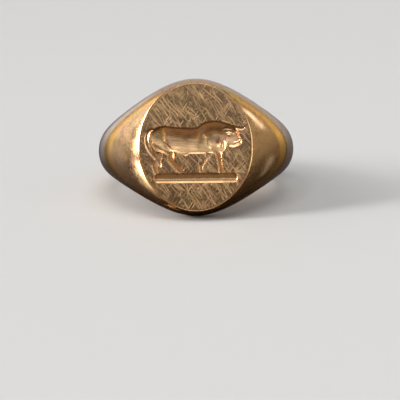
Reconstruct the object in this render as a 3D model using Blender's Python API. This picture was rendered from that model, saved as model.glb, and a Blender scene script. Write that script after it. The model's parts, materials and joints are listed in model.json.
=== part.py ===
"""A bench-made gold signet ring, lying on its side with the table facing forward.

The ring is made of an engraved head, two tapering shoulders and a plain shank,
joined by four thin seams of hard solder.

Every piece is modelled in the ring's own frame: the finger runs along Z, the
table faces -Y, and angles round the ring are counted from the middle of the
table, towards +X. The empty "ring_rest" then lays the whole ring on the ground.
"""

import math

import bmesh
import bpy
from mathutils import Vector

MM = 0.001

# Driving dimensions, in millimetres.
BORE_RADIUS = 8.75
BORE_EDGE_ROUND = 0.2
TABLE_DISTANCE = 11.43
ENGRAVING_DEPTH = 0.5

# How three measures change from the face of the ring to its back. The waist
# says how soon a measure leaves its face value: a small waist means at once.
HALF_WIDTH = {"face": 7.43, "back": 1.73, "waist": 0.669}
CROWN_RADIUS = {"face": 13.54, "back": 10.4, "waist": 0.744}
SQUARENESS = {"face": 2.7, "back": 2.0, "waist": 0.317}

# Where the pieces meet, in degrees from the middle of the table.
HEAD_JOINT = 36.0
SHANK_JOINT = 100.0
SOLDER_SPAN = 0.5
SOLDER_CLEARANCE = 0.1

# Mesh density.
SWEEP_STEP = 3.0
PROFILE_STEPS = 26
ROUND_STEPS = 3
BURR_SEGMENTS = 14
BURR_RINGS = 8


def share_from_face(angle, waist):
    """1 at the face of the ring, falling smoothly to 0 at its back."""
    here = (1 + (math.sin(angle / 2) / waist) ** 2) ** -2
    back = (1 + waist ** -2) ** -2
    return (here - back) / (1 - back)


def measure(law, angle):
    """One of the three measures above, at an angle round the ring."""
    share = share_from_face(angle, law["waist"])
    return law["back"] + (law["face"] - law["back"]) * share


def section(angle):
    """The band's closed outline at an angle, as (radius, z) points."""
    half_width = measure(HALF_WIDTH, angle)
    power = 2 / measure(SQUARENESS, angle)
    base = BORE_RADIUS + BORE_EDGE_ROUND
    crown = measure(CROWN_RADIUS, angle) - base

    points = []
    for step in range(PROFILE_STEPS + 1):
        turn = math.pi * (step / PROFILE_STEPS - 0.5)
        rise = max(math.cos(turn), 0.0) ** power
        side = math.copysign(abs(math.sin(turn)) ** power, turn)
        points.append((base + crown * rise, half_width * side))

    flank = half_width - BORE_EDGE_ROUND
    for end in (1, -1):
        rounding = []
        for step in range(1, ROUND_STEPS + 1):
            turn = math.pi / 2 * (1 + step / ROUND_STEPS)
            radius = base + BORE_EDGE_ROUND * math.cos(turn)
            height = flank + BORE_EDGE_ROUND * math.sin(turn)
            rounding.append((radius, end * height))
        points += rounding if end == 1 else rounding[::-1]
    return points


def ring_point(angle, radius, z):
    """A point of the ring, in metres."""
    return Vector((radius * math.sin(angle), -radius * math.cos(angle), z)) * MM


def sweep(start, end):
    """A closed mesh of the band between two angles, in degrees."""
    shape = bmesh.new()
    steps = max(1, round((end - start) / SWEEP_STEP))
    loops = []
    for step in range(steps + 1):
        angle = math.radians(start + (end - start) * step / steps)
        loops.append([shape.verts.new(ring_point(angle, r, z)) for r, z in section(angle)])
    for near, far in zip(loops, loops[1:]):
        bmesh.ops.bridge_loops(shape, edges=loop_edges(shape, near) + loop_edges(shape, far))
    shape.faces.new(loops[0])
    shape.faces.new(loops[-1])
    bmesh.ops.recalc_face_normals(shape, faces=shape.faces)
    return shape


def loop_edges(shape, verts):
    """The edges of a closed loop of vertices, made where they are missing."""
    edges = []
    for first, second in zip(verts, verts[1:] + verts[:1]):
        edge = shape.edges.get((first, second))
        edges.append(edge or shape.edges.new((first, second)))
    return edges


def polished_gold(name, color, roughness):
    """A plain metallic material for one piece."""
    material = bpy.data.materials.new(name)
    material.use_nodes = True
    shader = material.node_tree.nodes["Principled BSDF"]
    shader.inputs["Base Color"].default_value = (*color, 1.0)
    shader.inputs["Metallic"].default_value = 1.0
    shader.inputs["Roughness"].default_value = roughness
    material.diffuse_color = (*color, 1.0)
    return material


def add_object(name, shape, parent, material=None):
    """Put a bmesh into the scene as a named object of the ring."""
    mesh = bpy.data.meshes.new(name)
    shape.to_mesh(mesh)
    shape.free()
    piece = bpy.data.objects.new(name, mesh)
    bpy.context.collection.objects.link(piece)
    piece.parent = parent
    if material:
        mesh.materials.append(material)
        mesh.shade_smooth()
        mesh.set_sharp_from_angle(angle=math.radians(30))
    return piece


def add_cutter(name, shape, parent):
    """A guide body that other pieces are cut with."""
    cutter = add_object(name, shape, parent)
    cutter.hide_render = True
    cutter.display_type = "WIRE"
    return cutter


def cut(piece, cutter, crossing=False):
    """Take the cutter's body away from a piece."""
    boolean = piece.modifiers.new(cutter.name, "BOOLEAN")
    boolean.operation = "DIFFERENCE"
    boolean.solver = "EXACT"
    boolean.use_self = crossing
    boolean.object = cutter


def table_block():
    """The block in front of the table, whose removal leaves the table flat."""
    depth = 6.0
    breadth = 20.0
    shape = bmesh.new()
    bmesh.ops.create_cube(shape, size=1.0)
    bmesh.ops.scale(shape, vec=Vector((breadth, depth, breadth)) * MM, verts=shape.verts)
    middle = Vector((0, -TABLE_DISTANCE - depth / 2, 0)) * MM
    bmesh.ops.translate(shape, vec=middle, verts=shape.verts)
    return shape


def ball_points(centre, radius, depth):
    """Points all over a ball that is flattened along the depth of the cut."""
    points = []
    for ring in range(1, BURR_RINGS):
        polar = math.pi * ring / BURR_RINGS
        for segment in range(BURR_SEGMENTS):
            turn = math.tau * segment / BURR_SEGMENTS
            side = radius * math.sin(polar)
            offset = (side * math.cos(turn), depth * math.cos(polar), side * math.sin(turn))
            points.append((centre + Vector(offset)) * MM)
    return points


def burr_stroke(shape, start, end):
    """One stroke of the engraver's burr, between two (x, z, radius, depth) places."""
    points = []
    for x, z, radius, depth in (start, end):
        points += ball_points(Vector((x, -TABLE_DISTANCE, z)), radius, depth)
    verts = [shape.verts.new(point) for point in points]
    hull = bmesh.ops.convex_hull(shape, input=verts)
    inner = {item for item in hull["geom_interior"] if isinstance(item, bmesh.types.BMVert)}
    bmesh.ops.delete(shape, geom=list(inner), context="VERTS")


def bull_strokes():
    """The walking bull and its ground line, on the table's own x and z."""
    deep = ENGRAVING_DEPTH
    mid = 0.8 * deep
    light = 0.5 * deep
    torso = [
        ((-2.7, 0.85, 1.2, deep), (1.1, 0.95, 1.4, deep)),
        ((-3.4, 0.95, 1.1, deep), (-2.9, 0.1, 0.85, deep)),
        ((1.6, 1.35, 1.3, deep), (1.8, 0.1, 0.9, deep)),
        ((2.2, 1.35, 1.2, deep), (3.5, 1.4, 0.8, deep)),
        ((3.0, 0.7, 0.6, mid), (2.3, -0.3, 0.4, mid)),
    ]
    head = [
        ((3.95, 1.5, 0.68, deep), (4.4, 0.75, 0.42, mid)),
        ((3.9, 2.15, 0.2, mid), (4.7, 2.25, 0.14, light)),
        ((4.7, 2.25, 0.14, light), (5.25, 1.95, 0.08, light)),
    ]
    legs = [
        ((2.3, -0.3, 0.5, mid), (2.55, -1.6, 0.26, mid)),
        ((2.55, -1.6, 0.26, mid), (2.85, -2.75, 0.22, light)),
        ((1.4, -0.3, 0.5, mid), (0.6, -1.6, 0.27, mid)),
        ((0.6, -1.6, 0.27, mid), (0.5, -2.75, 0.22, light)),
        ((-2.8, 0.0, 0.75, mid), (-2.35, -1.3, 0.34, mid)),
        ((-2.35, -1.3, 0.34, mid), (-1.45, -2.7, 0.22, light)),
        ((-3.8, 0.1, 0.65, mid), (-4.3, -1.5, 0.3, mid)),
        ((-4.3, -1.5, 0.3, mid), (-4.05, -2.7, 0.22, light)),
    ]
    tail = [
        ((-4.4, 1.8, 0.16, light), (-5.15, 1.2, 0.12, light)),
        ((-5.15, 1.2, 0.12, light), (-5.1, 0.0, 0.12, light)),
        ((-5.1, 0.0, 0.12, light), (-4.7, -0.8, 0.16, light)),
    ]
    ground = [((-4.0, -3.32, 0.48, mid), (3.9, -3.32, 0.48, mid))]
    return torso + head + legs + tail + ground


def intaglio():
    """The body of the engraving, as the strokes that cut it."""
    shape = bmesh.new()
    for start, end in bull_strokes():
        burr_stroke(shape, start, end)
    bmesh.ops.recalc_face_normals(shape, faces=shape.faces)
    return shape


def add_head(parent):
    """The solid head: a flat oval table with steep walls, engraved."""
    gold = polished_gold("engraved_gold", (0.62, 0.42, 0.22), 0.32)
    head = add_object("signet_head", sweep(-HEAD_JOINT, HEAD_JOINT), parent, gold)
    cut(head, add_cutter("table_cutter", table_block(), parent))
    cut(head, add_cutter("intaglio_cutter", intaglio(), parent), crossing=True)
    return head


def add_hoop(parent):
    """The two shoulders, the shank, and the solder seams between the pieces."""
    edge = SOLDER_SPAN / 2 + SOLDER_CLEARANCE
    shoulder_start = HEAD_JOINT + 2 * edge
    shoulder_end = SHANK_JOINT - edge
    shank_start = SHANK_JOINT + edge
    seam_places = {"head": HEAD_JOINT + edge, "shank": SHANK_JOINT}

    polished = polished_gold("shoulder_gold", (0.66, 0.44, 0.22), 0.2)
    worn = polished_gold("shank_gold", (0.6, 0.38, 0.19), 0.28)
    solder = polished_gold("gold_solder", (0.68, 0.5, 0.29), 0.3)

    for side, sign in (("right", 1), ("left", -1)):
        ends = sorted((sign * shoulder_start, sign * shoulder_end))
        add_object(f"{side}_shoulder", sweep(*ends), parent, polished)
        for joint, place in seam_places.items():
            middle = sign * place
            seam = sweep(middle - SOLDER_SPAN / 2, middle + SOLDER_SPAN / 2)
            add_object(f"{side}_{joint}_solder", seam, parent, solder)
    add_object("shank", sweep(shank_start, 360 - shank_start), parent, worn)


def table_half_height():
    """From the middle of the table to its edge, along the finger."""
    base = BORE_RADIUS + BORE_EDGE_ROUND
    squareness = SQUARENESS["face"]
    rise = (TABLE_DISTANCE - base) / (CROWN_RADIUS["face"] - base)
    return HALF_WIDTH["face"] * (1 - rise ** squareness) ** (1 / squareness)


def lowest(outline, towards_back, lean):
    """How far a section reaches below the bore's centre on a leaning ring."""
    sign = -1 if towards_back else 1
    return min(sign * r * math.sin(lean) + z * math.cos(lean) for r, z in outline)


def resting_lean():
    """The lean at which the head and the back of the shank both touch the ground."""
    low, high = 0.0, math.radians(45)
    for _ in range(50):
        lean = (low + high) / 2
        head = lowest(section(0), False, lean)
        back = lowest(section(math.pi), True, lean)
        if head < back:
            low = lean
        else:
            high = lean
    return lean


def lay_down(rest):
    """Lean the ring on its side, over the origin, with its lowest points at zero."""
    lean = resting_lean()
    front = -TABLE_DISTANCE * math.cos(lean) - table_half_height() * math.sin(lean)
    back = max(r * math.cos(lean) + z * math.sin(lean) for r, z in section(math.pi))
    drop = lowest(section(0), False, lean)
    rest.rotation_euler = (-lean, 0, 0)
    rest.location = Vector((0, -(front + back) / 2, -drop)) * MM


def build():
    """Make the whole ring in an empty scene."""
    for leftover in list(bpy.data.objects):
        bpy.data.objects.remove(leftover)
    rest = bpy.data.objects.new("ring_rest", None)
    bpy.context.collection.objects.link(rest)
    add_head(rest)
    add_hoop(rest)
    lay_down(rest)


build()
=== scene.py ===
"""The finished look of the engraved gold signet ring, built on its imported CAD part.

Sizes are millimetres in the ring's own frame: the finger runs along Z, the
table faces -Y, and angles round the ring are counted from the middle of the
table, towards +X. The frame's record says where that frame lies in the world.
"""

import json
import math

import bpy
import numpy as np
from mathutils import Matrix, Vector


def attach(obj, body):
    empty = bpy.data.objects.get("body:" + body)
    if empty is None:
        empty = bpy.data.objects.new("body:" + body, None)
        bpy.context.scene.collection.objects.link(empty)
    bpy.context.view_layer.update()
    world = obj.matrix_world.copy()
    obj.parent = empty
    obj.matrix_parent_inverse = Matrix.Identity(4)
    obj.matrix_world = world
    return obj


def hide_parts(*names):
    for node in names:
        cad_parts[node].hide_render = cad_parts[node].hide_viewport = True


MM = 0.001

# The ring's driving dimensions, the same as the CAD part's.
BORE_RADIUS = 8.75
BORE_EDGE_ROUND = 0.2
BASE_RADIUS = BORE_RADIUS + BORE_EDGE_ROUND
TABLE_DISTANCE = 11.43
TABLE_MARK_HEIGHT = 5.2
HALF_WIDTH = {"face": 7.43, "back": 1.73, "waist": 0.669}
CROWN_RADIUS = {"face": 13.54, "back": 10.4, "waist": 0.744}
SQUARENESS = {"face": 2.7, "back": 2.0, "waist": 0.317}

# The table only cuts the ring where the angle's cosine is more than this.
BESIDE_HEAD = 0.6

# Where the pieces meet, in degrees from the middle of the table.
HEAD_END = 36.0
SHOULDER_START = 36.7
SHOULDER_END = 99.65
SHANK_START = 100.35

# How round the worn edge of the table is, how far its middle stands proud of its
# edge, and how deep its scratches are.
TABLE_EDGE_WEAR = 0.15
TABLE_DOME = 0.06
SCRATCH_DEPTH = 0.01

# How deep a point lies when it counts as engraved, and how far out, as a share of the way
# to the table's edge, the scratches are at full strength.
SUNK_AT = 0.05
UNWORN_RIM = 0.96

# Mesh density. The wall's rows lie closer together near the table, and its first stretch,
# as far as WALL_FACETED of the way, takes the mesh's own normals.
TABLE_CELLS = 270
WALL_STEPS = 16
WALL_CROWDING = 1.6
WALL_FACETED = 0.03
EDGE_SEARCH_STEPS = 40
SWEEP_STEP = 1.0
BORE_STEPS = 12
ROUND_STEPS = 6
SKIN_STEPS = 96


# ---------------------------------------------------------------- the ring's surface


def share_from_face(angle, waist):
    """1 at the face of the ring, falling smoothly to 0 at its back."""
    here = (1 + (np.sin(angle / 2) / waist) ** 2) ** -2
    back = (1 + waist ** -2) ** -2
    return (here - back) / (1 - back)


def measure(law, angle):
    """A measure of the ring that changes from its face to its back."""
    return law["back"] + (law["face"] - law["back"]) * share_from_face(angle, law["waist"])


def soft_minimum(first, second, softness):
    """The smaller of two lengths, with a rounded change from one to the other."""
    nearness = np.maximum(softness - np.abs(first - second), 0) / softness
    return np.minimum(first, second) - nearness ** 2 * softness / 4


def cut_by_table(angle, radius):
    """The radius of the ring where the flat table may cut it."""
    cosine = np.cos(angle)
    table = TABLE_DISTANCE / np.maximum(cosine, BESIDE_HEAD / 2)
    return np.where(cosine > BESIDE_HEAD, soft_minimum(radius, table, TABLE_EDGE_WEAR), radius)


def outline(angle, place):
    """(radius, z) on the band's outline. The place runs once round it, from 0 to 4:
    0 to 1 is the outer skin, 1 to 2 the upper rounding, 2 to 3 the bore, 3 to 4 the lower rounding."""
    half_width = measure(HALF_WIDTH, angle)
    power = 2 / measure(SQUARENESS, angle)
    crown = measure(CROWN_RADIUS, angle) - BASE_RADIUS
    flank = half_width - BORE_EDGE_ROUND

    turn = np.pi * (np.clip(place, 0, 1) - 0.5)
    rise = np.maximum(np.cos(turn), 0) ** power
    side = np.sign(turn) * np.abs(np.sin(turn)) ** power
    skin = cut_by_table(angle, BASE_RADIUS + crown * rise), half_width * side

    upper = np.pi / 2 * np.clip(place, 1, 2)
    upper_round = (
        BASE_RADIUS + BORE_EDGE_ROUND * np.cos(upper),
        flank + BORE_EDGE_ROUND * np.sin(upper),
    )
    bore = BORE_RADIUS + 0 * angle, flank * (5 - 2 * place)
    lower = np.pi / 2 * (np.clip(place, 3, 4) - 1)
    lower_round = (
        BASE_RADIUS + BORE_EDGE_ROUND * np.cos(lower),
        -flank + BORE_EDGE_ROUND * np.sin(lower),
    )
    stretch = [place <= 1, place <= 2, place <= 3]
    choices = (skin, upper_round, bore, lower_round)
    radius = np.select(stretch, [c[0] for c in choices[:3]], choices[3][0])
    height = np.select(stretch, [c[1] for c in choices[:3]], choices[3][1])
    return radius, height


def surface(angle, place):
    """Points on the ring's surface, one per row."""
    radius, height = outline(angle, place)
    return np.stack([radius * np.sin(angle), -radius * np.cos(angle), height], axis=-1)


def surface_normals(angle, place):
    """Outward normals of the ring's surface, one per row."""
    step = 1e-4
    low = np.maximum(place - step, np.where(place <= 1, 0, np.where(place <= 2, 1, 2)))
    high = np.minimum(place + step, np.where(place <= 1, 1, np.where(place <= 3, 3, 4)))
    along = surface(angle + step, place) - surface(angle - step, place)
    across = surface(angle, high) - surface(angle, low)
    normal = np.cross(along, across)
    return normal / np.maximum(np.linalg.norm(normal, axis=-1, keepdims=True), 1e-12)


# ---------------------------------------------------------------- mesh helpers


def resting_matrix(record):
    """The ring frame's place in the world, read from the mount on the table."""
    mount = next(m for m in record["mounts"] if m["name"] == "seal_table")
    facing = Vector(mount["axis"])
    finger = Vector((0, facing.z, -facing.y))
    mark = Vector(mount["pos_m"])
    centre = mark - facing * TABLE_DISTANCE * MM - finger * TABLE_MARK_HEIGHT * MM
    lean = Matrix((Vector((1, 0, 0)), -facing, finger)).transposed()
    return Matrix.Translation(centre) @ lean.to_4x4()


def build_piece(name, points, faces, normals, flat_faces, material, replaced, wear=None):
    """A visible piece, made from ring-frame points in millimetres and riding on the ring.
    The wear, if given, holds what the material should know of each point."""
    mesh = bpy.data.meshes.new(name)
    turn = np.array(REST.to_3x3())
    world = points * MM @ turn.T + np.array(REST.translation)
    mesh.from_pydata(world.tolist(), [], faces)
    mesh.polygons.foreach_set("use_smooth", [face not in flat_faces for face in range(len(faces))])

    place = mesh.attributes.new("ring_mm", "FLOAT_VECTOR", "POINT")
    place.data.foreach_set("vector", points.astype(np.float32).ravel())
    for title, values in (wear or {}).items():
        layer = mesh.attributes.new(title, "FLOAT", "POINT")
        layer.data.foreach_set("value", values.astype(np.float32))
    corners = np.zeros(len(mesh.loops), np.int32)
    mesh.loops.foreach_get("vertex_index", corners)
    corner_normals = (normals @ turn.T)[corners]
    for face in flat_faces:
        polygon = mesh.polygons[face]
        corner_normals[polygon.loop_start : polygon.loop_start + polygon.loop_total] = 0
    mesh.normals_split_custom_set(corner_normals.tolist())

    mesh.materials.append(material)
    piece = bpy.data.objects.new(name, mesh)
    bpy.context.scene.collection.objects.link(piece)
    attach(piece, "root")
    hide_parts(replaced)
    return piece


def inner_places():
    """The places from the skin's upper edge, through the bore, to its lower edge."""
    upper = np.linspace(1, 2, ROUND_STEPS + 1)[1:]
    bore = np.linspace(2, 3, BORE_STEPS + 1)[1:]
    lower = np.linspace(3, 4, ROUND_STEPS + 1)[1:-1]
    return np.concatenate([upper, bore, lower])


def ring_places():
    """The places round the band's outline that a swept piece is made from."""
    return np.concatenate([np.linspace(0, 1, SKIN_STEPS + 1), inner_places()])


def swept_piece(name, start, end, material, slot):
    """A stretch of the ring between two angles, in degrees, with flat ends."""
    start, end = sorted((start, end))
    steps = max(2, math.ceil((end - start) / SWEEP_STEP))
    angles = np.radians(np.linspace(start, end, steps + 1))
    places = ring_places()
    angle_grid, place_grid = np.meshgrid(angles, places, indexing="ij")
    points = surface(angle_grid, place_grid).reshape(-1, 3)
    normals = surface_normals(angle_grid, place_grid).reshape(-1, 3)

    count = len(places)
    faces = []
    for row in range(steps):
        for column in range(count):
            after = (column + 1) % count
            near = row * count
            far = near + count
            faces.append((near + column, far + column, far + after, near + after))
    flat_faces = {len(faces), len(faces) + 1}
    faces.append(tuple(range(count)))
    faces.append(tuple(range(steps * count, (steps + 1) * count))[::-1])
    piece = build_piece(name + "_finish", points, faces, normals, flat_faces, material, name)


# ---------------------------------------------------------------- the engraving

# The engraver's work is drawn on a fine grid over the table, in millimetres.
RASTER_STEP = 0.025
RASTER_HALF = (6.6, 7.4)

# The outlines run smoothly through these places, in millimetres from the middle of
# the table, with this many steps from each place to the next.
BACK = [
    (-4.86, 1.15), (-4.66, 1.66), (-4.1, 2.1), (-3.4, 2.23), (-2.4, 2.12), (-1.2, 2.02),
    (-0.1, 2.0), (0.35, 2.1), (0.75, 2.42), (1.35, 2.63), (2.05, 2.71), (2.75, 2.6), (3.5, 2.36),
    (4.2, 2.1),
]
FACE = [(4.44, 1.75), (4.6, 1.3), (4.74, 0.85), (4.9, 0.58)]
UNDERSIDE = [
    (4.86, 0.3), (4.55, 0.12), (4.1, -0.03), (3.62, 0.06), (3.3, 0.3), (3.22, 0.12), (3.1, -0.3),
    (2.75, -0.63), (1.9, -0.66), (0.9, -0.68), (-0.2, -0.68), (-0.76, -0.72), (-1.02, -0.94),
    (-1.3, -0.84), (-1.75, -0.6), (-2.4, -0.4), (-3.1, -0.52), (-3.75, -0.5), (-4.35, -0.12),
    (-4.72, 0.42),
]
CHEEK = [
    (3.4, 1.75), (3.08, 1.25), (3.12, 0.7), (3.38, 0.22), (3.85, 0.0), (4.35, 0.06), (4.85, 0.25),
    (4.9, 0.58), (4.72, 0.95), (4.58, 1.4), (4.35, 1.7), (3.9, 1.85),
]
NEAR_HIND_LEG = [
    (-4.1, 1.5), (-3.5, 1.2), (-3.2, 0.45), (-2.5, -0.33), (-2.36, -0.8), (-2.36, -1.25),
    (-1.95, -1.82), (-1.5, -2.4), (-1.16, -2.95), (-1.66, -2.95), (-2.25, -2.36), (-2.78, -1.7),
    (-3.06, -1.28), (-2.98, -0.85), (-3.4, -0.56), (-4.0, -0.34), (-4.55, 0.15), (-4.78, 0.8),
    (-4.6, 1.3),
]
NEAR_FORE_LEG = [
    (1.75, 1.5), (1.2, 1.2), (1.16, 0.65), (1.36, 0.14), (1.76, -0.2), (2.06, -0.72), (2.26, -1.4),
    (2.4, -2.1), (2.5, -2.95), (3.04, -2.95), (2.86, -2.1), (2.78, -1.4), (2.78, -0.7), (2.86, -0.1),
    (2.7, 0.7), (2.3, 1.3),
]
FAR_FORE_LEG = [
    (1.1, -0.4), (0.98, -1.1), (0.62, -1.7), (0.4, -2.0), (0.38, -2.45), (0.46, -2.95), (0.8, -2.95),
    (0.74, -2.45), (0.8, -2.1), (1.2, -1.5), (1.75, -0.75),
]
FAR_HIND_LEG = [
    (-4.25, -0.6), (-4.34, -1.2), (-4.62, -1.75), (-4.72, -2.15), (-4.35, -2.95), (-3.92, -2.95),
    (-4.15, -2.2), (-3.85, -1.65), (-3.62, -1.1), (-3.6, -0.6),
]
CURVE_STEPS = 5

# These have a radius too: how wide the tool is at each place.
TAIL = [
    (-4.4, 1.85, 0.1), (-4.8, 1.84, 0.14), (-5.14, 1.5, 0.2), (-5.27, 0.8, 0.23),
    (-5.14, 0.1, 0.23), (-4.84, -0.5, 0.21), (-4.48, -0.95, 0.2), (-4.12, -1.35, 0.22),
    (-3.88, -1.75, 0.18), (-3.78, -2.05, 0.06),
]
HORN = [(3.7, 2.05, 0.14), (4.15, 2.0, 0.17), (4.6, 1.9, 0.15), (5.0, 1.88, 0.1), (5.27, 1.98, 0.05)]
STIFLE_CREASE = [(-3.3, 0.52, 0.05), (-3.0, 0.14, 0.09), (-2.55, -0.32, 0.09), (-2.42, -0.75, 0.05)]
SHOULDER_CREASE = [
    (1.2, 1.05, 0.05), (1.17, 0.62, 0.09), (1.4, 0.1, 0.09), (1.8, -0.25, 0.09), (2.1, -0.8, 0.05),
]
BROW = [(3.3, 1.5, 0.05), (3.6, 1.6, 0.09), (3.95, 1.5, 0.08), (4.1, 1.38, 0.05)]
EAR = [(3.0, 1.88, 0.07), (3.35, 1.96, 0.13), (3.8, 1.84, 0.08)]
NOSTRIL = [(4.62, 0.76, 0.06), (4.66, 0.72, 0.07)]
EYE_RIM = [(3.56, 1.22, 0.11), (3.64, 1.2, 0.11)]
EYE = [(3.6, 1.21, 0.05), (3.62, 1.21, 0.05)]
MOUTH = [(4.15, 0.36, 0.05), (4.5, 0.44, 0.06), (4.74, 0.56, 0.05)]
GROUND = [(-4.05, -3.3, 0.47), (3.95, -3.36, 0.47)]

# How softly the graver left its edges, how softly the body's floor changes, and how far
# the dirt and painted shade spread from a deep line, in millimetres.
BODY_BLUR = 0.025
LEG_BLUR = 0.035
HORN_BLUR = 0.03
DETAIL_BLUR = 0.02
FLOOR_BLUR = 0.11
DIRT_AND_SHADE_SPREAD = 0.14

# How sharply two cuts that flow into each other meet.
UNION_SHARPNESS = 8

NECK_FOLDS = 3
BELLY_LINES = 9

# How deep the body is cut from its back (0) to its underside (1), in millimetres.
BODY_SECTION = [(0.0, 0.19), (0.1, 0.25), (0.36, 0.39), (0.7, 0.28), (1.0, 0.12)]

# The body's muscles: how deep each is (less than 0 stands up), its middle, its size along
# and across, and its turn in degrees. The bends are between the belly and its two ends.
MUSCLES = {
    "barrel": (0.06, (-0.9, 0.5), (1.3, 0.5), 0),
    "hump": (0.07, (1.9, 1.5), (0.6, 0.4), 0),
    "shoulder blade": (0.09, (1.6, 0.75), (0.34, 0.45), 20),
    "neck": (0.07, (2.75, 1.1), (0.3, 0.5), 15),
    "rump": (0.08, (-4.0, 0.9), (0.4, 0.6), 0),
    "front bend": (-0.1, (0.55, 1.2), (0.24, 0.7), -12),
    "rear bend": (-0.12, (-3.1, 1.0), (0.2, 0.6), 8),
}
HEAD_MUSCLES = {
    "muzzle": (0.05, (4.5, 0.45), (0.2, 0.16), 0),
    "forehead": (0.05, (4.2, 1.6), (0.16, 0.2), 0),
}
SMALL_MUSCLES = {
    "chest": (0.07, (2.42, 0.3), (0.14, 0.2), 0),
    "behind the shoulder": (0.04, (1.12, 1.2), (0.16, 0.14), 0),
}

# Slopes and their spread are in degrees from the table's X, lengths and widths in millimetres.
SCRATCH_SEED = 11
SCRATCHES = [
    {"count": 500, "slope": -57, "spread": 12, "length": (0.3, 1.4), "width": 0.026, "force": (0.2, 0.8)},
    {"count": 200, "slope": 20, "spread": 50, "length": (0.2, 1.0), "width": 0.026, "force": (0.2, 0.7)},
    {"count": 300, "slope": -56, "spread": 8, "length": (0.6, 3.0), "width": 0.028, "force": (0.7, 1.0)},
    {"count": 60, "slope": -60, "spread": 35, "length": (0.5, 1.8), "width": 0.034, "force": (0.9, 1.0)},
]


def raster_grid():
    """x and z of every point of the drawing grid."""
    x = np.arange(-RASTER_HALF[0], RASTER_HALF[0] + RASTER_STEP, RASTER_STEP)
    z = np.arange(-RASTER_HALF[1], RASTER_HALF[1] + RASTER_STEP, RASTER_STEP)
    return np.meshgrid(x, z, indexing="ij")


def blurred(field, spread):
    """A field softened by a bell of the given spread, in millimetres."""
    reach = max(1, round(3 * spread / RASTER_STEP))
    offsets = np.arange(-reach, reach + 1)
    weights = np.exp(-0.5 * (offsets * RASTER_STEP / spread) ** 2)
    weights /= weights.sum()
    for axis in (0, 1):
        field = sum(w * np.roll(field, o, axis=axis) for w, o in zip(weights, offsets))
    return field


def nearest_on_step(xs, zs, start, end):
    """How far along a straight step the nearest place to each point is, from 0 to 1, and how far off."""
    run = end[0] - start[0]
    climb = end[1] - start[1]
    square = max(run ** 2 + climb ** 2, 1e-9)
    share = np.clip(((xs - start[0]) * run + (zs - start[1]) * climb) / square, 0, 1)
    return share, np.hypot(xs - start[0] - share * run, zs - start[1] - share * climb)


def stroke(grid, path, depth, roundness=0.5):
    """A path of (x, z, radius) places, cut with a rounded bottom."""
    x, z = grid
    closeness = np.zeros_like(x)
    for (x0, z0, r0), (x1, z1, r1) in zip(path, path[1:]):
        reach = max(r0, r1) + 0.05
        window = (
            (x > min(x0, x1) - reach) & (x < max(x0, x1) + reach)
            & (z > min(z0, z1) - reach) & (z < max(z0, z1) + reach)
        )
        share, distance = nearest_on_step(x[window], z[window], (x0, z0), (x1, z1))
        radius = r0 + share * (r1 - r0)
        inside = np.clip(1 - (distance / radius) ** 2, 0, 1)
        closeness[window] = np.maximum(closeness[window], inside)
    return depth * closeness ** roundness


def curve_through(places, closed=True):
    """A smooth curve through the places, as short straight steps."""
    points = np.array(places)
    before, after, beyond = (np.roll(points, turn, axis=0) for turn in (1, -1, -2))
    if not closed:
        before[0] = points[0]
        after[-1] = points[-1]
        beyond[-2:] = points[-1]
    steps = []
    for share in np.arange(0, 1, 1 / CURVE_STEPS):
        steps.append(
            points
            + 0.5 * share * (after - before)
            + share ** 2 * (before - 2.5 * points + 2 * after - 0.5 * beyond)
            + share ** 3 * (1.5 * points - 0.5 * before - 1.5 * after + 0.5 * beyond)
        )
    whole = np.stack(steps, axis=1).reshape(-1, points.shape[1])
    return whole if closed else whole[: 1 - CURVE_STEPS]


def depth_in(places, grid):
    """How far inside a smooth outline each grid point lies, in millimetres, or 0 outside it."""
    outline_points = curve_through(places)
    x, z = grid
    low = outline_points.min(axis=0)
    high = outline_points.max(axis=0)
    window = (x > low[0]) & (x < high[0]) & (z > low[1]) & (z < high[1])
    xs = x[window]
    zs = z[window]
    nearest = np.full(xs.shape, np.inf)
    inside = np.zeros(xs.shape, bool)
    for (x0, z0), (x1, z1) in zip(outline_points, np.roll(outline_points, -1, axis=0)):
        distance = nearest_on_step(xs, zs, (x0, z0), (x1, z1))[1]
        nearest = np.minimum(nearest, distance)
        if z0 != z1:
            crossed = (z0 > zs) != (z1 > zs)
            inside ^= crossed & (xs < x0 + (zs - z0) * (x1 - x0) / (z1 - z0))
    field = np.zeros_like(x)
    field[window] = np.where(inside, nearest, 0)
    return field


def hollow(inset, radius, depth):
    """A cut with a round wall, which gets no deeper beyond the radius from its outline."""
    closeness = np.clip(inset / radius, 0, 1)
    return depth * np.sqrt(1 - (1 - closeness) ** 2)


def swell(grid, depth, middle, size, turn):
    """A soft oval swelling of a given depth in its middle, turned by some degrees."""
    angle = math.radians(turn)
    x = grid[0] - middle[0]
    z = grid[1] - middle[1]
    along = x * math.cos(angle) + z * math.sin(angle)
    across = z * math.cos(angle) - x * math.sin(angle)
    return depth * np.exp(-0.5 * ((along / size[0]) ** 2 + (across / size[1]) ** 2))


def fading(value, none_at, full_at):
    """0 on one side of a stretch and 1 on the other, changing smoothly between."""
    share = np.clip((value - none_at) / (full_at - none_at), 0, 1)
    return share * share * (3 - 2 * share)


def union(first, second):
    """Two cuts that flow into each other."""
    power = UNION_SHARPNESS
    return (np.maximum(first, 0) ** power + np.maximum(second, 0) ** power) ** (1 / power)


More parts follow.
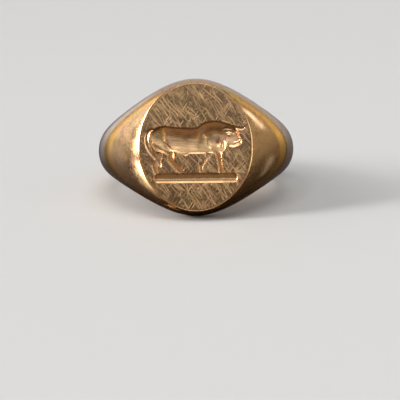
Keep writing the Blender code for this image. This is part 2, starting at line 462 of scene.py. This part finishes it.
def torso(grid):
    """The body, neck and head in one, with their muscles."""
    x, z = grid
    inset = depth_in(BACK + FACE + UNDERSIDE, grid)
    edge = np.clip(inset / 0.4, 0, 1)
    back = curve_through(BACK, closed=False)
    underside = curve_through(UNDERSIDE[::-1], closed=False)
    below_back = np.interp(x, back[:, 0], back[:, 1]) - z
    above_underside = z - np.interp(x, underside[:, 0], underside[:, 1])
    share = below_back / np.maximum(below_back + above_underside, 0.5)
    share += 0.2 * fading(-x, 3.2, 4.0) + 0.12 * fading(x, 3.0, 3.6)
    section = np.array(BODY_SECTION)
    floor = blurred(np.interp(share, section[:, 0], section[:, 1]), FLOOR_BLUR)
    depth = np.minimum(hollow(inset, 0.3, 0.45), floor)
    return depth + edge * sum(swell(grid, *muscle) for muscle in MUSCLES.values())


def limb(places, grid, deepest):
    """A leg: a long wall that goes down from its right side, and a short one on its left."""
    inset = depth_in(places, grid)
    run = np.cumsum(inset > 0, axis=0)
    share = 1 - run / np.maximum(run[-1:], 1)
    return np.minimum(hollow(inset, 0.18, 1.1 * deepest), deepest * (0.3 + 0.7 * share))


def near_legs(grid, depth):
    """The two legs on the near side, flowing out of the haunch and the shoulder."""
    z = grid[1]
    for places in (NEAR_HIND_LEG, NEAR_FORE_LEG):
        leg = limb(places, grid, 0.31 + 0.045 * z) * fading(z, 0.9, 0.0)
        on_body = fading(z, 1.5, 0.3) * fading(depth, 0.0, 0.2)
        muscle = hollow(depth_in(places, grid), 0.3, 0.07) * on_body
        depth = union(depth + blurred(muscle, LEG_BLUR), blurred(leg, LEG_BLUR))
    return depth


def bull(grid):
    """Depth of the walking bull. What stands nearer in the print is cut deeper."""
    far_legs = np.maximum(limb(FAR_HIND_LEG, grid, 0.15), limb(FAR_FORE_LEG, grid, 0.17))
    tail = stroke(grid, curve_through(TAIL, closed=False), 0.12)
    behind = blurred(np.maximum(far_legs, tail), LEG_BLUR)
    body = near_legs(grid, blurred(np.maximum(torso(grid), 0), BODY_BLUR))
    cheek = hollow(depth_in(CHEEK, grid), 0.4, 0.05) * fading(grid[1], 1.7, 0.9)
    cheek += sum(swell(grid, *muscle) for muscle in HEAD_MUSCLES.values())
    body += blurred(cheek, DETAIL_BLUR) * fading(body, 0.0, 0.15)
    horn = blurred(stroke(grid, curve_through(HORN, closed=False), 0.16), HORN_BLUR)
    return np.maximum.reduce([behind, body, horn])


def fine_marks(grid):
    """Small marks inside the bull: eye, brow, ear, mouth, folds and the graver's strokes."""
    raised = stroke(grid, EYE_RIM, 0.09) + stroke(grid, MOUTH, 0.06)
    marks = stroke(grid, BROW, 0.05) + stroke(grid, EAR, 0.05) - raised
    marks += stroke(grid, NOSTRIL, 0.06) + stroke(grid, EYE, 0.06)
    for crease in (STIFLE_CREASE, SHOULDER_CREASE):
        marks += stroke(grid, curve_through(crease, closed=False), 0.07)
    for muscle in SMALL_MUSCLES.values():
        marks += swell(grid, *muscle)
    for fold in range(NECK_FOLDS):
        middle = (3.08 - 0.26 * fold, 0.15 + 0.12 * fold)
        marks += swell(grid, 0.05, middle, (0.4, 0.07), 96)
    for line in range(BELLY_LINES):
        middle = (-1.0 + 1.2 * math.sin(2.3 * line), 1.0 - 0.19 * line)
        marks += swell(grid, 0.009, middle, (0.55, 0.045), -4)
    return blurred(marks, BODY_BLUR)


def ground_line(grid):
    """Depth of the bar under the bull's feet: a steep upper side and a long, ridged lower one."""
    bar = stroke(grid, GROUND, 1.0, roundness=1.0)
    radius = GROUND[0][2]
    inset = radius * (1 - np.sqrt(1 - bar))
    middle = np.interp(grid[0], [GROUND[0][0], GROUND[1][0]], [GROUND[0][1], GROUND[1][1]])
    up = (grid[1] - middle) / radius
    floor = np.interp(up, [-1, -0.05, 1], [0.18, 0.24, 0.15])
    ridges = 0.014 * fading(np.cos(15 * up), 0.0, 1.0) * (up < 0)
    return blurred(np.minimum(floor - ridges, hollow(inset, 0.12, 0.4)), DETAIL_BLUR)


def drawn_table():
    """The whole engraving on its grid."""
    grid = raster_grid()
    depth = bull(grid)
    cut = depth + fine_marks(grid) * np.clip(depth / 0.1, 0, 1)
    return np.maximum(cut, ground_line(grid))


def cavity(depth):
    """Where dirt gathers and shade is painted, from 0 to 1: in the deepest lines of the engraving."""
    return np.clip((depth - blurred(depth, DIRT_AND_SHADE_SPREAD)) / 0.09, 0, 1)


def scratches(grid):
    """How scratched the table is, from 0 to 1. Most scratches run down to the right."""
    chance = np.random.default_rng(SCRATCH_SEED)
    marks = np.zeros_like(grid[0])
    for kind in SCRATCHES:
        for _ in range(kind["count"]):
            across = chance.uniform(-RASTER_HALF[0], RASTER_HALF[0])
            along = chance.uniform(-RASTER_HALF[1], RASTER_HALF[1])
            slope = math.radians(chance.normal(kind["slope"], kind["spread"]))
            length = chance.uniform(*kind["length"])
            force = chance.uniform(*kind["force"])
            draw_scratch(marks, grid, across, along, slope, length, kind["width"], force)
    return np.clip(marks, 0, 1)


def draw_scratch(marks, grid, across, along, slope, length, width, force):
    """Add one straight scratch, fading out at both ends."""
    reach = length / 2 + 3 * width
    first = [max(0, int((v - reach + h) / RASTER_STEP)) for v, h in zip((across, along), RASTER_HALF)]
    last = [int((v + reach + h) / RASTER_STEP) + 2 for v, h in zip((across, along), RASTER_HALF)]
    window = (slice(first[0], last[0]), slice(first[1], last[1]))
    x = grid[0][window] - across
    z = grid[1][window] - along
    lengthwise = x * math.cos(slope) + z * math.sin(slope)
    sideways = z * math.cos(slope) - x * math.sin(slope)
    fade = np.clip(1 - (2 * lengthwise / length) ** 4, 0, 1)
    groove = force * fade * np.exp(-0.5 * (sideways / width) ** 2)
    marks[window] = np.maximum(marks[window], groove)


def sampled(field, x, z):
    """A drawn field, read at any points of the table."""
    column = (x + RASTER_HALF[0]) / RASTER_STEP
    row = (z + RASTER_HALF[1]) / RASTER_STEP
    left = np.clip(column.astype(int), 0, field.shape[0] - 2)
    low = np.clip(row.astype(int), 0, field.shape[1] - 2)
    right_share = column - left
    high_share = row - low
    lower = field[left, low] * (1 - right_share) + field[left + 1, low] * right_share
    upper = field[left, low + 1] * (1 - right_share) + field[left + 1, low + 1] * right_share
    return lower * (1 - high_share) + upper * high_share


# ---------------------------------------------------------------- the head


def table_edge_share(across, along):
    """How far out the table's edge lies on a straight way from the middle of the
    head's skin to a point of its border."""
    low = np.full(across.shape, 0.3)
    high = np.full(across.shape, 1.0)
    for _ in range(EDGE_SEARCH_STEPS):
        share = (low + high) / 2
        angle = math.radians(HEAD_END) * across * share
        turn = np.pi / 2 * along * share
        power = 2 / measure(SQUARENESS, angle)
        rise = np.maximum(np.cos(turn), 0) ** power
        radius = BASE_RADIUS + (measure(CROWN_RADIUS, angle) - BASE_RADIUS) * rise
        on_table = radius > TABLE_DISTANCE / np.cos(angle)
        low = np.where(on_table, share, low)
        high = np.where(on_table, high, share)
    return (low + high) / 2


def border_walk(cells):
    """Grid places (column, row) once round the border of a square grid."""
    last = cells
    bottom = [(i, 0) for i in range(last)]
    right = [(last, j) for j in range(last)]
    top = [(last - i, last) for i in range(last)]
    left = [(0, last - j) for j in range(last)]
    return bottom + right + top + left


def table_point(angle, side_z, depth):
    """A point on the engraved table, at an angle and a height along the finger."""
    half_width = measure(HALF_WIDTH, angle)
    squareness = measure(SQUARENESS, angle)
    reach = np.clip(np.abs(side_z) / half_width, 0, 1)
    rise = (1 - reach ** squareness) ** (1 / squareness)
    crown = BASE_RADIUS + (measure(CROWN_RADIUS, angle) - BASE_RADIUS) * rise
    radius = cut_by_table(angle, crown)
    return np.stack([radius * np.sin(angle), depth - radius * np.cos(angle), side_z], axis=-1)


class Shell:
    """A mesh that grows row by row: its points, their normals, and the faces between rows."""

    def __init__(self):
        self.points = []
        self.normals = []
        self.faces = []
        self.count = 0

    def add(self, points, normals):
        """Add some points, and return their numbers."""
        numbers = self.count + np.arange(len(points))
        self.points.append(points)
        self.normals.append(normals)
        self.count += len(points)
        return numbers

    def join(self, *corners):
        """Add four-sided faces between points, given as one set of numbers for each corner."""
        self.faces += np.stack(corners, axis=-1).reshape(-1, 4).tolist()


def table_edge():
    """How far out each point of the head's square grid lies, and the angle and the place of
    the table's edge beyond it."""
    ticks = np.linspace(-1, 1, TABLE_CELLS + 1)
    across, along = np.meshgrid(ticks, ticks, indexing="ij")
    ring = np.maximum(np.maximum(np.abs(across), np.abs(along)), 1e-9)
    edge = table_edge_share(across / ring, along / ring)
    return ring, math.radians(HEAD_END) * across / ring * edge, 0.5 + 0.5 * along / ring * edge


def engraved_table(ring, edge_angle, edge_place):
    """The table's points, and what its material should know of each of them."""
    x = ring * (TABLE_DISTANCE * np.tan(edge_angle))
    z = ring * outline(edge_angle, edge_place)[1]
    drawn = drawn_table()
    depth = sampled(drawn, x, z)
    sunk = np.clip(depth / SUNK_AT, 0, 1)
    inner_table = fading(ring, 1.0, UNWORN_RIM)
    marks = sampled(scratches(raster_grid()), x, z) * (1 - sunk) * inner_table
    worn = depth + SCRATCH_DEPTH * marks + TABLE_DOME * ring ** 2
    wear = {
        "flat": (1 - sunk) * inner_table,
        "sunk": sunk,
        "scratch": marks,
        # dirt and painted shade, gathered in the deepest lines of the engraving
        "groove_dirt_and_shade": sampled(cavity(drawn), x, z),
    }
    return table_point(np.arctan2(x, TABLE_DISTANCE), z, worn), wear


def add_wall(shell, table, edge_angle, edge_place):
    """The wall from the table's edge to the border of the skin. Returns the border's points."""
    walk = border_walk(TABLE_CELLS)
    column = np.array([place[0] for place in walk])
    row = np.array([place[1] for place in walk])
    ticks = np.linspace(-1, 1, TABLE_CELLS + 1)
    border_angle = math.radians(HEAD_END) * ticks[column]
    border_place = 0.5 + 0.5 * ticks[row]
    start_angle = edge_angle[column, row]
    start_place = edge_place[column, row]
    inner = table[column, row]
    for step in range(1, WALL_STEPS + 1):
        share = (step / WALL_STEPS) ** WALL_CROWDING
        angle = start_angle + (border_angle - start_angle) * share
        place = start_place + (border_place - start_place) * share
        smooth = surface_normals(angle, place)
        normals = smooth if share > WALL_FACETED else np.zeros_like(smooth)
        outer = shell.add(surface(angle, place), normals)
        shell.join(inner, outer, np.roll(outer, -1), np.roll(inner, -1))
        inner = outer
    return inner


def add_bore(shell, upper, lower):
    """The bore and its rounded edges, between the skin's two edges. Returns all the rows."""
    angles = math.radians(HEAD_END) * np.linspace(-1, 1, TABLE_CELLS + 1)
    rows = [upper]
    for place in inner_places():
        places = np.full_like(angles, place)
        rows.append(shell.add(surface(angles, places), surface_normals(angles, places)))
    rows.append(lower)
    for near, far in zip(rows, rows[1:]):
        shell.join(near[:-1], near[1:], far[1:], far[:-1])
    return rows


def add_ends(shell, border, rows):
    """The head's two flat ends, at its joints. Returns the numbers of their faces."""
    corner = TABLE_CELLS
    inside = np.array(rows[1:-1])
    right = np.concatenate([border[corner : 2 * corner + 1], inside[:, -1]])
    left = np.concatenate([border[3 * corner :], border[:1], inside[::-1, 0]])
    first = len(shell.faces)
    shell.faces += [right[::-1].tolist(), left[::-1].tolist()]
    return {first, first + 1}


def head_piece(material):
    """The head: engraved table, steep walls, bore and the two soldered ends."""
    ring, edge_angle, edge_place = table_edge()
    points, wear = engraved_table(ring, edge_angle, edge_place)
    points = points.reshape(-1, 3)
    shell = Shell()
    table = shell.add(points, np.zeros_like(points)).reshape(ring.shape)
    shell.join(table[:-1, :-1], table[1:, :-1], table[1:, 1:], table[:-1, 1:])

    border = add_wall(shell, table, edge_angle, edge_place)
    corner = TABLE_CELLS
    upper = border[2 * corner : 3 * corner + 1][::-1]
    rows = add_bore(shell, upper, border[: corner + 1])
    flat_faces = add_ends(shell, border, rows)

    unworn = np.zeros(shell.count - len(points))
    piece = build_piece(
        "signet_head_finish", np.concatenate(shell.points), shell.faces,
        np.concatenate(shell.normals), flat_faces, material, "signet_head",
        {title: np.concatenate([values.ravel(), unworn]) for title, values in wear.items()},
    )


# ---------------------------------------------------------------- materials

GOLD = (0.9, 0.58, 0.27)
ROSY_GOLD = (0.92, 0.52, 0.28)
# A painted highlight: the scratches and hairlines are lightened in colour, as if they caught the light.
SCRATCH_HIGHLIGHT_GOLD = (1.0, 0.7, 0.37)
TARNISH = (0.5, 0.3, 0.13)
GREY_TARNISH = (0.42, 0.33, 0.24)
# Dirt and painted shade: the engraving's deep lines are darkened in colour, like shade in a recess.
GROOVE_DIRT_AND_SHADE = (0.3, 0.15, 0.06)

# The roughness of the gold where its polish is best kept, and how visible its hairlines are.
FRONT_FINISH = {"polish": 0.07, "hairline_share": 0.5}
SHANK_FINISH = {"polish": 0.1, "hairline_share": 0.6}

# Slopes in degrees, seeds, and how strong each field of hatching is.
HAIRLINES = [(57, 1.0), (20, 4.0), (-48, 9.0)]
HATCHING = [(57, 2.0, 1.0), (52, 5.0, 1.0), (-38, 12.0, 0.35)]

# The finest relief, whose depth is in metres.
BUMP_STRENGTH = 0.8
BUMP_DEPTH = 0.00001


class Shade:
    """A small helper that adds nodes to a material and joins them up."""

    def __init__(self, tree):
        self.tree = tree

    def node(self, kind, inputs, **settings):
        """A node with its settings, whose inputs are values or other nodes' outputs."""
        made = self.tree.nodes.new(kind)
        for title, value in settings.items():
            setattr(made, title, value)
        for title, value in inputs.items():
            if isinstance(value, bpy.types.NodeSocket):
                self.tree.links.new(value, made.inputs[title])
            else:
                made.inputs[title].default_value = value
        return made

    def math(self, operation, first, second=0.0, third=0.0):
        """One sum on numbers or outputs."""
        inputs = {0: first, 1: second, 2: third}
        return self.node("ShaderNodeMath", inputs, operation=operation).outputs[0]

    def vector(self, operation, inputs):
        """One sum on vectors or colours."""
        return self.node("ShaderNodeVectorMath", inputs, operation=operation).outputs[0]

    def blend(self, share, first, second):
        """A colour between two colours."""
        made = self.node("ShaderNodeMix", {}, data_type="RGBA")
        for slot, value in ((0, share), (6, first), (7, second)):
            if isinstance(value, bpy.types.NodeSocket):
                self.tree.links.new(value, made.inputs[slot])
            else:
                made.inputs[slot].default_value = (*value, 1) if slot else value
        return made.outputs[2]

    def attribute(self, title, output="Fac"):
        """A value that the mesh carries at each point."""
        return self.node("ShaderNodeAttribute", {}, attribute_name=title).outputs[output]

    def noise(self, place, scale, detail=2.0):
        """Soft noise round 0.5."""
        inputs = {"Vector": place, "Scale": scale, "Detail": detail}
        return self.node("ShaderNodeTexNoise", inputs).outputs["Fac"]

    def between(self, value, low, high):
        """0 below the low limit and 1 above the high one."""
        inputs = {"Value": value, "From Min": low, "From Max": high}
        return self.node("ShaderNodeMapRange", inputs).outputs["Result"]

    def stretched(self, place, scale):
        """The place, scaled along each axis, so that noise on it turns into streaks."""
        return self.node("ShaderNodeMapping", {"Vector": place, "Scale": scale}).outputs["Vector"]

    def turned(self, place, slope, seed):
        """The place, turned by a slope in degrees and moved by a seed."""
        turn = {
            "Vector": place,
            "Location": (seed, 2 * seed, 3 * seed),
            "Rotation": (0, math.radians(slope), 0),
        }
        return self.node("ShaderNodeMapping", turn).outputs["Vector"]

    def hairlines(self, place, slope, seed):
        """Fine broken lines, all running the same way over the ring."""
        turned = self.turned(place, slope, seed)
        streaks = self.noise(self.stretched(turned, (0.35, 7.0, 7.0)), 1.0, 2.0)
        line = self.between(self.math("ABSOLUTE", self.math("SUBTRACT", streaks, 0.5)), 0.02, 0.0)
        patches = self.between(self.noise(turned, 0.9, 2.0), 0.45, 0.65)
        return self.math("MULTIPLY", line, patches)

    def hatching(self, place, slope, seed):
        """A dense field of very fine lines, stronger in some patches than in others."""
        turned = self.turned(place, slope, seed)
        noise = self.noise(self.stretched(turned, (0.55, 11.0, 11.0)), 1.0, 1.0)
        patches = self.between(self.noise(turned, 0.8, 3.0), 0.42, 0.62)
        return self.math("MULTIPLY", self.between(noise, 0.6, 0.7), patches)


def surface_marks(shade, place, hairline_share):
    """(hairlines, deeper cuts): where the surface is scratched, each from 0 to 1."""
    lines = 0.0
    for slope, seed in HAIRLINES:
        lines = shade.math("MAXIMUM", lines, shade.hairlines(place, slope, seed))
    hatch = 0.0
    for slope, seed, share in HATCHING:
        more = shade.math("MULTIPLY", shade.hatching(place, slope, seed), share)
        hatch = shade.math("MAXIMUM", hatch, more)
    hatch = shade.math("MULTIPLY", hatch, shade.attribute("flat"))
    cuts = shade.math("MAXIMUM", hatch, shade.attribute("scratch"))
    return shade.math("MULTIPLY", lines, hairline_share), cuts


def wear_patches(shade, place):
    """(fretted, scuffed): the skin that wear has dulled, and the left shoulder's rubbed patch."""
    across = shade.node("ShaderNodeSeparateXYZ", {"Vector": place}).outputs["X"]
    worn = shade.between(shade.noise(place, 0.6, 1.0), 0.25, 0.6)
    front = shade.between(shade.math("ABSOLUTE", across), 9.4, 8.4)
    inner_edge = shade.between(across, -5.8, -6.6)
    outer_edge = shade.between(across, -8.9, -7.8)
    return shade.math("MULTIPLY", front, worn), shade.math("MULTIPLY", inner_edge, outer_edge)


def gold_tone(shade, place, marks, fretted, scuffed):
    """Yellow gold with a rosy cast, a thin brown film, grey pits, a painted highlight along the
    scratches, and dirt and painted shade in the deep lines.
    """
    clouds = shade.between(shade.noise(place, 0.45, 3.0), 0.35, 0.7)
    film = shade.math("MULTIPLY", shade.between(shade.noise(place, 1.7, 5.0), 0.48, 0.66), fretted)
    pits = shade.math("MULTIPLY", shade.between(shade.noise(place, 4.5, 3.0), 0.5, 0.62), scuffed)
    tone = shade.blend(clouds, GOLD, ROSY_GOLD)
    layers = (
        (film, 0.5, TARNISH),
        (pits, 0.65, GREY_TARNISH),
        # painted highlight along the scratches and hairlines
        (marks, 0.85, SCRATCH_HIGHLIGHT_GOLD),
        # the deep lines darkened with dirt and painted shade
        (shade.attribute("groove_dirt_and_shade"), 0.45, GROOVE_DIRT_AND_SHADE),
    )
    for cover, strength, color in layers:
        tone = shade.blend(shade.math("MULTIPLY", cover, strength), tone, color)
    return tone


def gold_roughness(shade, place, polish, marks, fretted):
    """How rough the gold is: the polish, with smears, wear, engraved floors and scratches on it."""
    layers = (
        (shade.between(shade.noise(place, 1.1, 4.0), 0.35, 0.75), 0.06),
        (fretted, 0.09),
        (shade.attribute("flat"), 0.03),
        (shade.attribute("sunk"), 0.1),
        (marks, 0.42),
    )
    rough = polish
    for cover, strength in layers:
        rough = shade.math("MULTIPLY_ADD", cover, strength, rough)
    return rough


def gold_relief(shade, place, lines, cuts, fretted, scuffed):
    """Fine relief: soft waves, speckle, the graver's strokes and what the scratches took away."""
    waves = shade.math("MULTIPLY", shade.noise(place, 0.55, 2.0), 0.5)
    rubbed = shade.math("MULTIPLY_ADD", scuffed, 0.5, shade.math("MULTIPLY_ADD", fretted, 0.45, 0.1))
    speckle = shade.math("MULTIPLY", shade.noise(place, 8.0, 3.0), rubbed)
    graver = shade.noise(shade.stretched(place, (1.2, 9.0, 9.0)), 1.0, 2.0)
    strokes = shade.math("MULTIPLY", graver, shade.attribute("sunk"))
    grain = shade.math("MULTIPLY_ADD", strokes, 0.9, shade.math("ADD", speckle, waves))
    depth = shade.math("MULTIPLY_ADD", lines, 0.3, cuts)
    return shade.math("SUBTRACT", grain, depth)


def gold(name, polish, hairline_share):
    """Worn gold. The polish is its roughness where it is best kept."""
    material = bpy.data.materials.new(name)
    material.use_nodes = True
    shade = Shade(material.node_tree)
    place = shade.attribute("ring_mm", "Vector")
    lines, cuts = surface_marks(shade, place, hairline_share)
    marks = shade.math("MAXIMUM", lines, cuts)
    fretted, scuffed = wear_patches(shade, place)
    tone = gold_tone(shade, place, marks, fretted, scuffed)
    rough = gold_roughness(shade, place, polish, marks, fretted)
    relief = gold_relief(shade, place, lines, cuts, fretted, scuffed)
    settings = {"Height": relief, "Strength": BUMP_STRENGTH, "Distance": BUMP_DEPTH}
    bump = shade.node("ShaderNodeBump", settings)

    metal = material.node_tree.nodes["Principled BSDF"]
    metal.inputs["Metallic"].default_value = 1
    material.node_tree.links.new(tone, metal.inputs["Base Color"])
    material.node_tree.links.new(rough, metal.inputs["Roughness"])
    material.node_tree.links.new(bump.outputs["Normal"], metal.inputs["Normal"])
    return material


# ---------------------------------------------------------------- stage

# The camera's distance, aim, lens and sensor are in millimetres, its turns in degrees and
# the nearest distance that it sees in metres.
CAMERA_DISTANCE = 200.0
CAMERA_PITCH = 17.33
CAMERA_YAW = -0.12
CAMERA_ROLL = 1.04
CAMERA_AIM = (0.74, -1.56)
CAMERA_LENS = 156.9
CAMERA_SENSOR = 36.0
CAMERA_CLIP = 0.01

# The floor as the camera sees it, and as the polished gold sees it. Its size is in metres.
FLOOR_HALF_SIZE = 2.0
FLOOR_COLOR = (0.6, 0.6, 0.59)
FLOOR_ROUGHNESS = 0.9
FLOOR_SHINE = 0.1
FLOOR_IN_GOLD = (0.02, 0.012, 0.006)
FLOOR_IN_GOLD_ROUGHNESS = 0.05
FLOOR_IN_GOLD_IOR = 1.5

# The plain backdrop that the camera sees, and the height that the lights aim at, in metres.
BACKDROP = (0.66, 0.66, 0.65)
LIGHT_TARGET_HEIGHT = 0.006

# The room that the gold reflects: bright soft windows at both sides, dim elsewhere.
# Directions are degrees, counted from the table's side towards the right, and upwards;
# the reach is half the width and half the height.
ROOM_LIGHT = 0.09
WHITE = (1.0, 0.98, 0.97)
PALE = (0.95, 1.0, 1.15)
SILVER = (0.85, 0.96, 1.18)
ICE = (0.8, 1.08, 1.6)
WARM = (1.0, 0.86, 0.64)
AMBER = (1.0, 0.56, 0.22)
HONEY = (1.0, 0.8, 0.26)
WINDOWS = [
    {"aim": (-76, 21), "reach": (7, 14), "soft": 5, "color": WHITE, "radiance": 26.0},
    {"aim": (-88, 40), "reach": (7, 12), "soft": 6, "color": WHITE, "radiance": 6.5},
    {"aim": (-96, 20), "reach": (22, 30), "soft": 18, "color": WARM, "radiance": 0.2},
    {"aim": (-113, 26), "reach": (15, 24), "soft": 12, "color": PALE, "radiance": 0.7},
    {"aim": (-148, 9), "reach": (8, 11), "soft": 8, "color": ICE, "radiance": 0.35},
    {"aim": (-130, 14), "reach": (7, 26), "soft": 8, "color": HONEY, "radiance": 0.7},
    {"aim": (-42, 16), "reach": (18, 14), "soft": 12, "color": AMBER, "radiance": 0.24},
    {"aim": (60, 23), "reach": (7, 24), "soft": 4, "color": WHITE, "radiance": 2.2},
    {"aim": (95, 24), "reach": (26, 26), "soft": 12, "color": WARM, "radiance": 0.24},
    {"aim": (107, 22), "reach": (4, 9), "soft": 3, "color": PALE, "radiance": 1.8},
    {"aim": (129, 16), "reach": (7, 26), "soft": 4, "color": HONEY, "radiance": 0.62},
    {"aim": (180, 28), "reach": (41, 28), "soft": 6, "color": SILVER, "radiance": 0.42},
    {"aim": (8, 41), "reach": (40, 15), "soft": 10, "color": PALE, "radiance": 0.42},
    {"aim": (0, 2), "reach": (60, 8), "soft": 6, "color": AMBER, "radiance": 0.23},
]


def add_camera(centre):
    """The camera looks down at the table of the ring, almost squarely."""
    pitch = math.radians(CAMERA_PITCH)
    data = bpy.data.cameras.new("camera")
    data.lens = CAMERA_LENS
    data.sensor_width = CAMERA_SENSOR
    data.clip_start = CAMERA_CLIP
    camera = bpy.data.objects.new("camera", data)
    bpy.context.scene.collection.objects.link(camera)
    back = Vector((0, -math.cos(pitch), math.sin(pitch))) * CAMERA_DISTANCE
    camera.location = (Vector((CAMERA_AIM[0], 0, CAMERA_AIM[1])) + back) * MM + Vector((0, centre.y, 0))
    turn = Matrix.Rotation(math.radians(-CAMERA_YAW), 4, "Z")
    tip = Matrix.Rotation(math.pi / 2 - pitch, 4, "X")
    roll = Matrix.Rotation(math.radians(-CAMERA_ROLL), 4, "Z")
    camera.rotation_euler = (turn @ tip @ roll).to_euler()
    bpy.context.scene.camera = camera


def seen_by(tree, output):
    """A light path node's answer, such as whether the camera looks straight at this."""
    return tree.nodes.new("ShaderNodeLightPath").outputs[output]


def add_floor():
    """A plain pale floor, which the polished gold sees as a darker one."""
    mesh = bpy.data.meshes.new("floor")
    half = FLOOR_HALF_SIZE
    corners = [(-half, -half, 0), (half, -half, 0), (half, half, 0), (-half, half, 0)]
    mesh.from_pydata(corners, [], [(0, 1, 2, 3)])
    material = bpy.data.materials.new("floor")
    material.use_nodes = True
    tree = material.node_tree
    pale = tree.nodes["Principled BSDF"]
    pale.inputs["Base Color"].default_value = (*FLOOR_COLOR, 1)
    pale.inputs["Roughness"].default_value = FLOOR_ROUGHNESS
    pale.inputs["Specular IOR Level"].default_value = FLOOR_SHINE
    dark = tree.nodes.new("ShaderNodeBsdfPrincipled")
    dark.inputs["Base Color"].default_value = (*FLOOR_IN_GOLD, 1)
    dark.inputs["Roughness"].default_value = FLOOR_IN_GOLD_ROUGHNESS
    dark.inputs["IOR"].default_value = FLOOR_IN_GOLD_IOR
    mix = tree.nodes.new("ShaderNodeMixShader")
    tree.links.new(seen_by(tree, "Is Glossy Ray"), mix.inputs["Fac"])
    tree.links.new(pale.outputs["BSDF"], mix.inputs[1])
    tree.links.new(dark.outputs["BSDF"], mix.inputs[2])
    tree.links.new(mix.outputs["Shader"], tree.nodes["Material Output"].inputs["Surface"])
    mesh.materials.append(material)
    floor = bpy.data.objects.new("floor", mesh)
    bpy.context.scene.collection.objects.link(floor)


def pointing(azimuth, elevation):
    """A direction, with its azimuth counted from the table's side towards the right, in degrees."""
    turn = math.radians(azimuth)
    climb = math.radians(elevation)
    level = math.cos(climb)
    return Vector((math.sin(turn) * level, -math.cos(turn) * level, math.sin(climb)))


def add_light(name, azimuth, elevation, distance, size, radiance):
    """A soft area light aimed at the ring. The distance and the size are in metres."""
    data = bpy.data.lights.new(name, "AREA")
    data.shape = "RECTANGLE"
    data.size, data.size_y = size
    data.energy = radiance * math.pi * size[0] * size[1]
    light = bpy.data.objects.new(name, data)
    bpy.context.scene.collection.objects.link(light)
    direction = pointing(azimuth, elevation)
    light.location = Vector((0, 0, LIGHT_TARGET_HEIGHT)) + direction * distance
    light.rotation_euler = (-direction).to_track_quat("-Z", "Y").to_euler()


def window(shade, direction, aim, reach, soft, color, radiance):
    """The light that comes from one soft-edged window of the room."""
    turn, climb = (math.radians(angle) for angle in aim)
    x, y, z = (direction.outputs[axis] for axis in "XYZ")
    ahead = shade.math("MULTIPLY_ADD", x, math.sin(turn), shade.math("MULTIPLY", y, -math.cos(turn)))
    level_squared = shade.math("SUBTRACT", 1.0, shade.math("MULTIPLY", z, z))
    level = shade.math("SQRT", shade.math("MAXIMUM", level_squared, 1e-6))
    aside = shade.math("ARCCOSINE", shade.math("DIVIDE", ahead, level))
    above = shade.math("ABSOLUTE", shade.math("SUBTRACT", shade.math("ARCSINE", z), climb))
    share = radiance
    for away, half in ((aside, reach[0]), (above, reach[1])):
        edge = {
            "Value": away,
            "From Min": math.radians(half + soft / 2),
            "From Max": math.radians(half - soft / 2),
        }
        inside = shade.node("ShaderNodeMapRange", edge, interpolation_type="SMOOTHSTEP")
        share = shade.math("MULTIPLY", share, inside.outputs["Result"])
    return shade.vector("SCALE", {"Vector": color, "Scale": share})


def add_world():
    """A grey room with soft windows, which looks evenly pale where the camera sees it."""
    world = bpy.data.worlds.new("room")
    world.use_nodes = True
    shade = Shade(world.node_tree)
    place = shade.node("ShaderNodeTexCoord", {}).outputs["Generated"]
    direction = shade.node("ShaderNodeSeparateXYZ", {"Vector": place})
    light = (ROOM_LIGHT,) * 3
    for settings in WINDOWS:
        light = shade.vector("ADD", {0: light, 1: window(shade, direction, **settings)})
    pick = shade.node("ShaderNodeMix", {}, data_type="RGBA")
    links = world.node_tree.links
    links.new(seen_by(world.node_tree, "Is Camera Ray"), pick.inputs["Factor"])
    links.new(light, pick.inputs["A"])
    pick.inputs["B"].default_value = (*BACKDROP, 1)
    links.new(pick.outputs[2], world.node_tree.nodes["Background"].inputs["Color"])
    bpy.context.scene.world = world


# ---------------------------------------------------------------- the scene

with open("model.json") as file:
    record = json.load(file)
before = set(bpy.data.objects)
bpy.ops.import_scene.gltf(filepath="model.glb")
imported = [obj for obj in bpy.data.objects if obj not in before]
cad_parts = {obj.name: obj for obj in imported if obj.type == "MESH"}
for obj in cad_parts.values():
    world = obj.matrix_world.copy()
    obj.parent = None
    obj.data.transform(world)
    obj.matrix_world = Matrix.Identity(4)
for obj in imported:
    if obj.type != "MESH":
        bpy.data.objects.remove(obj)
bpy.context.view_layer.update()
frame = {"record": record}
REST = resting_matrix(frame["record"])

head_piece(gold("engraved_gold_finish", **FRONT_FINISH))
shoulder_gold = gold("shoulder_gold_finish", **FRONT_FINISH)
solder_gold = gold("gold_solder_finish", **FRONT_FINISH)
shank_gold = gold("shank_gold_finish", **SHANK_FINISH)
seams = {"head": (HEAD_END, SHOULDER_START), "shank": (SHOULDER_END, SHANK_START)}
for side, sign in (("right", 1), ("left", -1)):
    ends = (sign * SHOULDER_START, sign * SHOULDER_END)
    swept_piece(f"{side}_shoulder", *ends, shoulder_gold, "shoulder_gold")
    for joint, (start, end) in seams.items():
        swept_piece(f"{side}_{joint}_solder", sign * start, sign * end, solder_gold, "gold_solder")
swept_piece("shank", SHANK_START, 360 - SHANK_START, shank_gold, "shank_gold")

add_world()
add_floor()
add_light("ceiling", 0, 82, 0.6, (0.5, 0.4), 2.2)
add_light("top_window", -10, 64, 0.5, (0.4, 0.18), 1.4)
bpy.context.scene.view_settings.view_transform = "Standard"
add_camera(REST.translation)
